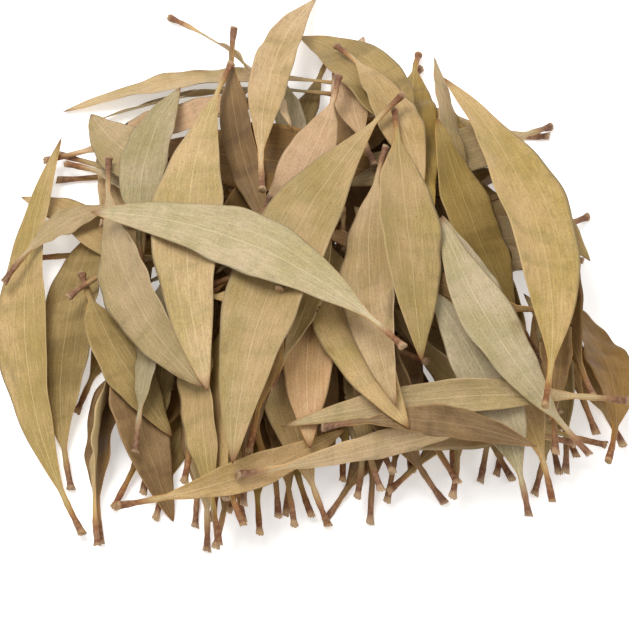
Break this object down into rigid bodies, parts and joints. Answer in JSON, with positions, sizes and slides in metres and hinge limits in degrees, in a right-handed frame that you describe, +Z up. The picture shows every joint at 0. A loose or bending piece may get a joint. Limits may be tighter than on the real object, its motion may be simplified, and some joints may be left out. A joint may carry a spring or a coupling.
{
  "type": "bunch of dried eucalyptus leaves",
  "caption": "loose low heap of long, sickle-shaped dried leaves, each a thin blade on a short stalk, lying over one another; used as dried decoration",
  "frame": {"origin": "on the surface the heap lies on, under the middle of its bounding box", "axes": "+Z up from the surface; +Y towards the back of the heap, -Y towards the front, where most stalks point; +X to the right seen from the front"},
  "size_m": [0.2766, 0.292, 0.0734],
  "materials": {
    "khaki_leaf": "matte",
    "sage_leaf": "matte",
    "straw_leaf": "matte",
    "blush_leaf": "matte",
    "olive_leaf": "matte",
    "umber_leaf": "matte"
  },
  "bodies": {
    "root": {"bed_leaf_01": "umber_leaf", "bed_leaf_02": "umber_leaf", "bed_leaf_03": "umber_leaf", "bed_leaf_04": "umber_leaf", "bed_leaf_05": "umber_leaf", "bed_leaf_06": "umber_leaf", "bed_leaf_07": "umber_leaf", "bed_leaf_08": "umber_leaf", "back_leaf_01": "sage_leaf", "right_leaf_01": "khaki_leaf", "right_leaf_02": "straw_leaf", "right_leaf_03": "khaki_leaf", "front_leaf_01": "khaki_leaf", "front_leaf_02": "straw_leaf", "front_leaf_03": "umber_leaf", "front_leaf_04": "straw_leaf", "front_leaf_05": "khaki_leaf", "front_leaf_06": "khaki_leaf", "left_leaf_01": "umber_leaf", "left_leaf_02": "khaki_leaf", "left_leaf_03": "olive_leaf", "left_leaf_04": "olive_leaf", "back_leaf_02": "khaki_leaf", "back_leaf_03": "straw_leaf", "back_leaf_04": "umber_leaf", "back_leaf_05": "blush_leaf", "back_leaf_06": "olive_leaf", "back_leaf_07": "khaki_leaf", "right_leaf_04": "olive_leaf", "right_leaf_05": "umber_leaf", "left_leaf_05": "khaki_leaf", "left_leaf_06": "khaki_leaf", "left_leaf_07": "straw_leaf", "left_leaf_08": "olive_leaf", "left_leaf_09": "sage_leaf", "left_leaf_10": "khaki_leaf", "left_leaf_11": "khaki_leaf", "left_leaf_12": "khaki_leaf", "left_leaf_13": "sage_leaf", "front_leaf_07": "umber_leaf", "front_leaf_08": "straw_leaf", "front_leaf_09": "straw_leaf", "front_leaf_10": "blush_leaf", "back_leaf_08": "olive_leaf", "back_leaf_09": "straw_leaf", "right_leaf_06": "sage_leaf", "right_leaf_07": "umber_leaf", "right_leaf_08": "sage_leaf", "front_leaf_11": "khaki_leaf", "front_leaf_12": "umber_leaf", "centre_leaf_01": "khaki_leaf", "right_leaf_09": "sage_leaf", "centre_leaf_02": "straw_leaf", "centre_leaf_03": "khaki_leaf", "centre_leaf_04": "blush_leaf", "centre_leaf_05": "khaki_leaf", "right_leaf_10": "khaki_leaf", "crown_leaf_01": "straw_leaf", "crown_leaf_02": "khaki_leaf", "crown_leaf_03": "sage_leaf"}
  },
  "joints": []
}
